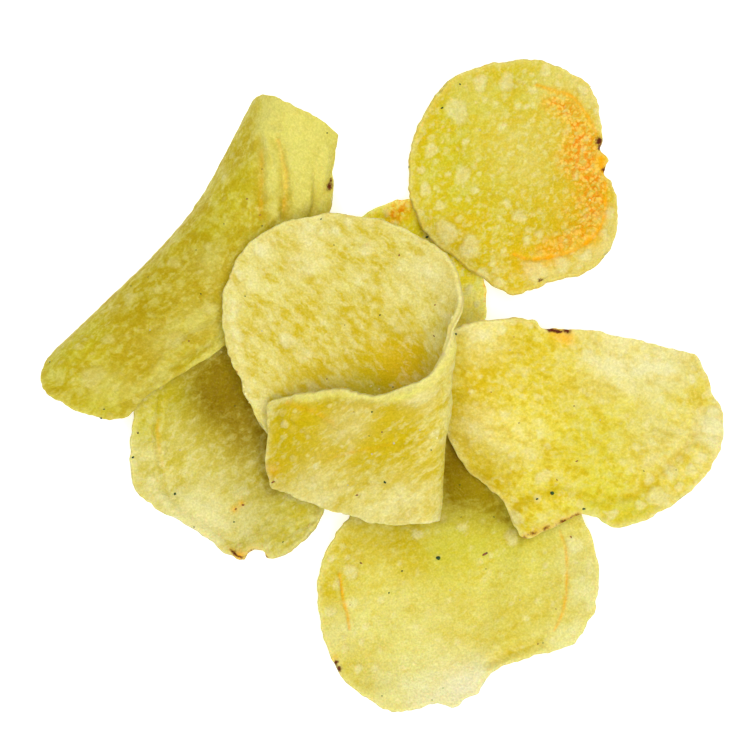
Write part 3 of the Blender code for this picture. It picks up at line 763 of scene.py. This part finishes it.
def new_material(name):
    """A material, its node tree and its shader."""
    material = bpy.data.materials.new(name)
    material.use_nodes = True
    return material, material.node_tree, material.node_tree.nodes["Principled BSDF"]


def feed(tree, node, inputs):
    """Each named input gets a value, or a link where it is given another node's output."""
    for name, value in inputs.items():
        if isinstance(value, bpy.types.NodeSocket):
            tree.links.new(value, node.inputs[name])
        else:
            node.inputs[name].default_value = value


def add_node(tree, kind, inputs, **settings):
    node = tree.nodes.new(kind)
    for name, value in settings.items():
        setattr(node, name, value)
    feed(tree, node, inputs)
    return node


def mixed(tree, share, first, second, blend="MIX"):
    """A colour that goes from first to second."""
    return add_node(tree, "ShaderNodeMix", {0: share, 6: first, 7: second}, data_type="RGBA",
                    blend_type=blend, clamp_factor=True).outputs[2]


def noise(tree, vector, size, detail=2.0, roughness=0.5):
    """Cloudy noise with spots of about this size in millimetres."""
    return add_node(tree, "ShaderNodeTexNoise", {"Vector": vector, "Scale": 1.0 / size, "Detail": detail,
                                                 "Roughness": roughness}).outputs[0]


def ranged(tree, value, low, high, to_low=0.0, to_high=1.0):
    return add_node(tree, "ShaderNodeMapRange", {"Value": value, "From Min": low, "From Max": high,
                                                 "To Min": to_low, "To Max": to_high}).outputs[0]


def combined(tree, operation, first, second):
    return add_node(tree, "ShaderNodeMath", {0: first, 1: second}, operation=operation).outputs[0]


def bubbles(tree, vector, size, full, chosen):
    """Discs in some of the cells of a Voronoi pattern: 1 inside them and 0 between."""
    cells = add_node(tree, "ShaderNodeTexVoronoi", {"Vector": vector, "Scale": 1.0 / size},
                     voronoi_dimensions="2D")
    inside = ranged(tree, cells.outputs["Distance"], full, full - 0.2)
    lot = add_node(tree, "ShaderNodeSeparateColor", {"Color": cells.outputs["Color"]}).outputs[0]
    return combined(tree, "MULTIPLY", inside, ranged(tree, lot, chosen, chosen - 0.25))


def warped(tree, places, plain, scale, detail, reach):
    """Places moved about by a noise, so that an even pattern over them looks grown."""
    drift = add_node(tree, "ShaderNodeTexNoise", {"Vector": plain, "Scale": scale, "Detail": detail})
    return add_node(tree, "ShaderNodeVectorMath",
                    {0: drift.outputs["Color"], 1: (reach, reach, 0.0), 2: places},
                    operation="MULTIPLY_ADD").outputs[0]


def crisp_material(crisp):
    """Fried potato: pale and golden patches, little bubbles, scorched netting and a fine grain, with painted
    shade where crisps shade one another.
    """
    material, tree, shader = new_material(crisp["name"] + "_potato")
    times, plus, most = (partial(combined, tree, kind) for kind in ("MULTIPLY", "ADD", "MAXIMUM"))
    span = partial(ranged, tree)
    share = {kind: add_node(tree, "ShaderNodeAttribute", {}, attribute_name=kind).outputs["Fac"]
             for kind in KINDS + ("rim",)}
    plain = add_node(tree, "ShaderNodeAttribute", {}, attribute_name="sheet").outputs["Vector"]
    sheet = warped(tree, plain, plain, 0.5, 3.0, 1.6)
    drawn = add_node(tree, "ShaderNodeMapping",
                     {"Vector": sheet, "Rotation": (0.0, 0.0, math.radians(crisp["grain_deg"])),
                      "Scale": (crisp["drawn_out"], 1.0, 1.0)}, vector_type="TEXTURE").outputs[0]
    patches = noise(tree, drawn, 3.2, 3.0, 0.6)
    mottle = noise(tree, drawn, 1.15, 2.5, 0.6)
    clouds = noise(tree, plain, 9.0, 1.0, 0.5)
    grain = noise(tree, plain, 0.42, 2.0, 0.6)

    lumps = most(times(bubbles(tree, sheet, 1.3, 0.42, 0.45), span(clouds, 0.42, 0.62, 0.1, 0.55)),
                 times(bubbles(tree, sheet, 2.7, 0.44, 0.4), span(clouds, 0.6, 0.4, 0.15, 0.7)))
    lumps = times(lumps, span(plus(share["pale"], share["rim"]), 0.0, 0.8, 0.35 * crisp["mottle"], 0.6))
    # Fewer little lumps show where shade is painted.
    lumps = times(lumps, span(share["painted_shade"], 0.0, 0.3, 1.0, 0.0))
    raised = times(share["blister"], span(mottle, 0.35, 0.65, 0.5, 0.8))
    foam = bubbles(tree, warped(tree, sheet, plain, 1.4, 2.0, 0.8), 0.95, 0.46, 0.9)

    tones = {kind: linear(tone, LIGHT_SHARE) for kind, tone in TONES.items()}
    tones.update({kind: linear(crisp[kind], LIGHT_SHARE) for kind in ("body", "pale", "gold", "raised")})
    coats = [(0.65, "body")]
    for field, amount in ((patches, crisp["patchy"]), (mottle, crisp["mottle"])):
        coats += [(span(field, 0.52, 0.34, 0.0, amount), "gold"),
                  (span(field, 0.5, 0.68, 0.0, amount), "pale")]
    coats += [
        (span(plus(patches, mottle), 0.92, 0.74, 0.0, min(0.8, 2 * crisp["patchy"])), "gold"),
        (times(share["gold"], span(mottle, 0.64, 0.4, 0.35, 1.2)), "gold"),
        (times(share["green"], span(patches, 0.35, 0.6, 0.5, 1.0)), "green"),
        (times(share["pale"], span(patches, 0.35, 0.6, 0.5, 1.1)), "pale"),
        (lumps, "pale"),
        (raised, "raised"),
        # Painted highlight: the white share.
        (share["white"], "white"),
        (share["lip"], "lip"),
        # Painted light: the rim is made paler, as if light shone through its thin edge.
        (times(share["rim"], 0.4), "pale"),
        (times(span(share["scorch"], 0.04, 0.75), span(mottle, 0.58, 0.38, 0.2, 1.2)), "scorch"),
        (times(foam, span(share["scorch"], 0.04, 0.35, 0.0, 0.65)), "honey"),
        (share["ember"], "ember"),
    ]
    colour = mixed(tree, span(clouds, 0.4, 0.6), tones["gold"], tones["body"])
    for amount, tone in coats:
        colour = mixed(tree, amount, colour, tones[tone])
    # Painted shade: these tints darken the colour where crisps shade one another.
    for kind, tint in PAINTED_SHADE_TINTS.items():
        amount = times(share[kind], span(mottle, 0.66, 0.4, 0.8, 1.1))
        colour = mixed(tree, amount, colour, tint, "MULTIPLY")
    burnt = span(plus(share["burn"], span(grain, 0.3, 0.7, -0.25, 0.25)), 0.25, 0.8)
    colour = mixed(tree, burnt, colour, tones["burn"])
    shade = span(grain, 0.28, 0.72, 0.86, 1.09)
    blue_shade = span(grain, 0.28, 0.72, 0.8, 1.1)
    shades = add_node(tree, "ShaderNodeCombineColor", {0: shade, 1: shade, 2: blue_shade})
    colour = mixed(tree, 1.0, colour, shades.outputs[0], "MULTIPLY")

    bumps = plus(times(grain, 0.5), noise(tree, plain, 0.9, 3.0, 0.6))
    bumps = plus(bumps, times(most(lumps, raised), 0.35))
    bump = add_node(tree, "ShaderNodeBump", {"Height": bumps, "Strength": 0.8, "Distance": 0.3 * MM})
    feed(tree, shader, {
        "Base Color": colour,
        "Normal": bump.outputs[0],
        "Roughness": span(grain, 0.35, 0.65, 0.3, 0.5),
        "Specular IOR Level": span(grain, 0.54, 0.7, 0.04, 0.3),
        "IOR": 1.45,
        "Subsurface Weight": 0.65,
        "Subsurface Radius": (1.0, 0.7, 0.15),
        "Subsurface Scale": 1.2 * MM,
    })
    return material


# What lies on the crisps. Each grain is (x, y, length in mm, length over width, turn in degrees).
HERB_FLECKS = [
    (438, 558, 1.05, 1.2, 60), (402, 571, 0.5, 1.3, 20), (389, 593, 0.5, 1.5, 0), (494, 517, 0.35, 1.2, 0),
    (461, 517, 0.3, 1.2, 0), (460, 485, 0.35, 1.3, 50), (486, 569, 0.3, 1.1, 0), (543, 643, 0.35, 1.4, 30),
    (382, 696, 0.35, 1.3, 0), (432, 700, 0.3, 1.2, 80), (443, 688, 0.25, 1.2, 0), (552, 493, 0.95, 1.2, 30),
    (537, 499, 0.6, 1.5, 60), (584, 509, 0.8, 1.8, -40), (644, 471, 0.4, 1.6, 10), (456, 334, 0.55, 1.4, 0),
    (460, 84, 0.5, 1.3, 0), (442, 108, 0.7, 1.3, 45), (409, 167, 0.4, 1.2, 0), (427, 237, 0.8, 1.4, -30),
    (224, 224, 0.35, 1.3, 0), (201, 294, 0.45, 1.6, 10), (50, 362, 0.5, 1.3, 0), (104, 409, 0.5, 1.4, 40),
    (101, 418, 0.6, 1.2, 0), (327, 133, 0.4, 1.3, 0), (288, 102, 0.35, 1.2, 0), (131, 286, 0.35, 1.2, 0),
    (196, 250, 0.3, 1.2, 0), (133, 457, 0.65, 1.4, 70), (138, 433, 0.55, 1.3, 0), (175, 494, 0.65, 1.3, -20),
    (283, 542, 0.5, 1.8, -40), (234, 522, 0.4, 1.2, 0), (194, 527, 0.35, 1.2, 0), (235, 406, 0.3, 1.2, 0),
    (245, 296, 0.4, 1.2, 0), (321, 219, 0.5, 1.7, -20), (334, 245, 0.3, 1.2, 0), (380, 315, 0.4, 1.2, 0),
    (345, 325, 0.3, 1.2, 0), (372, 412, 0.45, 1.2, 0), (431, 450, 0.4, 1.3, 0), (369, 436, 0.3, 1.2, 0),
    (385, 482, 0.8, 1.3, 30), (393, 387, 0.35, 1.2, 0), (148, 277, 0.35, 1.2, 0), (262, 226, 0.35, 1.2, 0),
]
BROWN_SPECKS = [
    (485, 554, 1.6, 3.4, -18), (357, 495, 0.7, 2.0, 10), (273, 482, 1.1, 2.4, 0), (361, 563, 0.9, 2.6, -10),
    (399, 255, 0.6, 1.4, 30), (435, 305, 0.45, 1.5, 60), (434, 336, 0.6, 2.4, -50), (382, 432, 0.45, 1.4, 0),
    (189, 341, 0.45, 1.3, 0), (260, 215, 0.6, 2.2, 80), (491, 392, 0.35, 1.3, 0), (519, 423, 0.35, 1.3, 0),
    (574, 406, 0.35, 1.3, 0), (577, 461, 0.7, 2.5, -60), (676, 470, 0.35, 1.3, 0), (514, 337, 0.35, 1.3, 0),
    (327, 379, 0.4, 1.3, 0), (557, 480, 0.5, 1.6, -30), (354, 412, 0.3, 1.3, 0), (556, 609, 0.3, 1.2, 0),
    (538, 644, 0.4, 1.3, 0), (243, 505, 0.7, 1.5, 30), (236, 509, 0.7, 1.8, 40), (262, 169, 0.4, 1.6, 80),
    (205, 175, 0.4, 1.4, 0), (247, 199, 0.5, 1.5, 0), (350, 605, 0.3, 1.3, 0), (571, 537, 0.7, 2.0, 20),
]
SALT_GRAINS = [
    (394, 443, 0.42, 1, 20), (372, 454, 0.36, 1, 50), (348, 485, 0.34, 1, 10), (420, 430, 0.3, 1, 0),
    (262, 331, 0.3, 1, 30), (510, 350, 0.28, 1, 15), (600, 420, 0.28, 1, 70), (450, 590, 0.28, 1, 40),
    (520, 600, 0.26, 1, 10), (180, 450, 0.28, 1, 25), (150, 330, 0.3, 1, 60), (480, 130, 0.28, 1, 5),
]
CRUMBS = [
    (246, 394, 1.2, 1.4, 60), (244, 387, 0.8, 1.3, 0), (221, 352, 0.7, 1.4, 30), (250, 402, 0.7, 1.3, 0),
    (452, 318, 0.9, 2.2, 85), (433, 433, 0.7, 1.2, 0), (437, 438, 0.6, 1.2, 0), (430, 438, 0.5, 1.2, 0),
    (371, 386, 0.7, 1.6, 0), (379, 389, 0.5, 1.4, 0), (590, 200, 0.5, 1.2, 0), (470, 655, 0.5, 1.3, 0),
]


def as_arrays(shape):
    """The points and triangles of a finished shape."""
    points = np.array([vertex.co for vertex in shape.verts])
    faces = np.array([[vertex.index for vertex in face.verts] for face in shape.faces])
    shape.free()
    return points, faces


def grain_shape(source, ragged):
    """A rough little lump about 1 across, flattened a little, as points and triangles."""
    shape = bmesh.new()
    bmesh.ops.create_icosphere(shape, subdivisions=2, radius=0.5)
    points, faces = as_arrays(shape)
    for _ in range(5):
        toward = source.normal(size=3)
        toward /= np.linalg.norm(toward)
        reach = points @ toward
        points -= np.outer(np.clip(reach - source.uniform(0.24, 0.42), 0.0, None), toward)
    points *= 1.0 + ragged * source.uniform(-1.0, 1.0, (len(points), 1))
    return points, faces


def cube_shape(source, ragged):
    """A worn crystal: a cube with blunt edges."""
    shape = bmesh.new()
    bmesh.ops.create_cube(shape, size=0.8)
    bmesh.ops.bevel(shape, geom=list(shape.edges), offset=0.12, segments=2, affect="EDGES", profile=0.5)
    bmesh.ops.triangulate(shape, faces=list(shape.faces))
    points, faces = as_arrays(shape)
    return points * source.uniform(0.8, 1.1, 3), faces


def seen_spot(trees, x, y):
    """The point of the crisps that shows at a pixel, with its normal, or None where the floor shows."""
    origin = Vector(CAMERA_PLACE) * MM
    across = (x - PICTURE / 2) / PICTURE * SENSOR / LENS
    along = (PICTURE / 2 - y) / PICTURE * SENSOR / LENS
    toward = Vector((across, along, -1.0)).normalized()
    hits = [tree.ray_cast(origin, toward) for tree in trees]
    hits = [hit for hit in hits if hit[0] is not None]
    if not hits:
        return None
    place, normal, _, _ = min(hits, key=lambda hit: hit[3])
    return place, (normal if normal.dot(toward) < 0.0 else -normal)


def hidden_spots(pieces, source, count):
    """Seeded places on the sides of the crisps that face down, about as many on each crisp."""
    spots = []
    for number, piece in enumerate(pieces, start=1):
        vertices = piece.data.vertices
        drawn = [vertices[int(index)] for index in source.integers(len(vertices), size=40 * count)]
        under = [vertex for vertex in drawn if vertex.normal.z < -0.5]
        wanted = count * number - len(spots)
        spots += [(vertex.co.copy(), vertex.normal.copy()) for vertex in under[:wanted]]
    return spots


def scatter_kind(pieces, trees, name, grains, shape, height, material, hidden, seed):
    """One mesh of many grains, each sunk a little into the crisp it lies on."""
    source = np.random.default_rng(seed)
    laid = []
    for x, y, length, narrow, turn_deg in grains:
        spot = seen_spot(trees, x, y)
        if spot:
            laid.append((spot, length, narrow, turn_deg))
    for spot in hidden_spots(pieces, source, hidden):
        laid.append((spot, source.uniform(0.3, 0.6), source.uniform(1.1, 1.8), source.uniform(0.0, 360.0)))
    points, faces, start = [], [], 0
    for (place, normal), length, narrow, turn_deg in laid:
        lump, triangles = shape(source, 0.1)
        lump = lump * (length, length / narrow, height * length / narrow)
        turn = normal.to_track_quat("Z", "X").to_matrix() @ Matrix.Rotation(math.radians(turn_deg), 3, "Z")
        lump = lump @ np.array(turn).T
        lump += np.array(normal) * 0.22 * height * length / narrow
        points.append(lump * MM + np.array(place))
        faces.append(triangles + start)
        start += len(lump)
    mesh = bpy.data.meshes.new(name)
    mesh.from_pydata(np.vstack(points), [], np.vstack(faces).tolist())
    piece = new_object(name, mesh, material)
    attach(piece, "root")


def grain_material(name, dark, light, size, roughness, see_through=0.0):
    """A small thing whose colour wanders between two tones."""
    material, tree, shader = new_material(name)
    place = add_node(tree, "ShaderNodeTexCoord", {}).outputs["Object"]
    cloud = noise(tree, place, size * MM, 2.0, 0.6)
    colour = mixed(tree, ranged(tree, cloud, 0.4, 0.62), linear(dark), linear(light))
    bump = add_node(tree, "ShaderNodeBump", {"Height": cloud, "Strength": 0.5, "Distance": 0.1 * MM})
    feed(tree, shader, {"Base Color": colour, "Normal": bump.outputs[0], "Roughness": roughness,
                        "Transmission Weight": see_through})
    return material


def scatter(pieces):
    graph = bpy.context.evaluated_depsgraph_get()
    trees = [BVHTree.FromObject(piece, graph) for piece in pieces]
    herb = grain_material("dried_herb", (6, 30, 10), (44, 88, 26), 0.35, 0.8)
    skin = grain_material("potato_skin", (92, 48, 18), (168, 104, 36), 0.4, 0.6)
    salt = grain_material("salt", (236, 234, 224), (250, 250, 246), 0.3, 0.15, see_through=0.5)
    crumb = grain_material("fried_crumb", (214, 198, 96), (242, 234, 170), 0.5, 0.5)
    scatter_kind(pieces, trees, "herb_flecks", HERB_FLECKS, grain_shape, 0.55, herb, 4, 301)
    scatter_kind(pieces, trees, "brown_specks", BROWN_SPECKS, grain_shape, 0.5, skin, 4, 302)
    scatter_kind(pieces, trees, "salt_grains", SALT_GRAINS, cube_shape, 0.9, salt, 3, 303)
    scatter_kind(pieces, trees, "potato_crumbs", CRUMBS, grain_shape, 0.8, crumb, 3, 304)


# The stage: a plain pale floor, soft light from above and the camera.


def make_floor():
    """A plain white table that glows a little, so that it shows as white as in the picture."""
    mesh = bpy.data.meshes.new("floor")
    reach = 3.0
    corners = [(-reach, -reach, 0), (reach, -reach, 0), (reach, reach, 0), (-reach, reach, 0)]
    mesh.from_pydata(corners, [], [(0, 1, 2, 3)])
    material, tree, shader = new_material("white_table")
    feed(tree, shader, {"Base Color": (0.9, 0.9, 0.9, 1.0), "Roughness": 0.9,
                        "Emission Color": (1.0, 1.0, 1.0, 1.0), "Emission Strength": 0.45})
    new_object("floor", mesh, material)


def add_light(name, place, size, power):
    """A square soft light that faces the heap."""
    lamp = bpy.data.lights.new(name, "AREA")
    lamp.size = size
    lamp.energy = power
    light = bpy.data.objects.new(name, lamp)
    light.location = place
    light.rotation_euler = Vector(place).to_track_quat("Z", "Y").to_euler()
    bpy.context.scene.collection.objects.link(light)


def make_stage():
    make_floor()
    add_light("top_light", (0.0, 0.0, 0.95), 1.1, 10.0)
    add_light("side_light", (0.4, -0.3, 0.8), 0.6, 1.6)
    world = bpy.data.worlds.new("studio")
    world.use_nodes = True
    sky = {"Color": (1.0, 1.0, 1.0, 1.0), "Strength": 0.3}
    feed(world.node_tree, world.node_tree.nodes["Background"], sky)
    scene = bpy.context.scene
    scene.world = world
    scene.view_settings.view_transform = "Standard"
    view = bpy.data.cameras.new("camera")
    view.lens = LENS
    view.sensor_width = SENSOR
    camera = bpy.data.objects.new("camera", view)
    camera.location = Vector(CAMERA_PLACE) * MM
    scene.collection.objects.link(camera)
    scene.camera = camera


make_stage()
pieces = [make_crisp(crisp, crisp_material(crisp)) for crisp in CRISPS]
scatter(pieces)
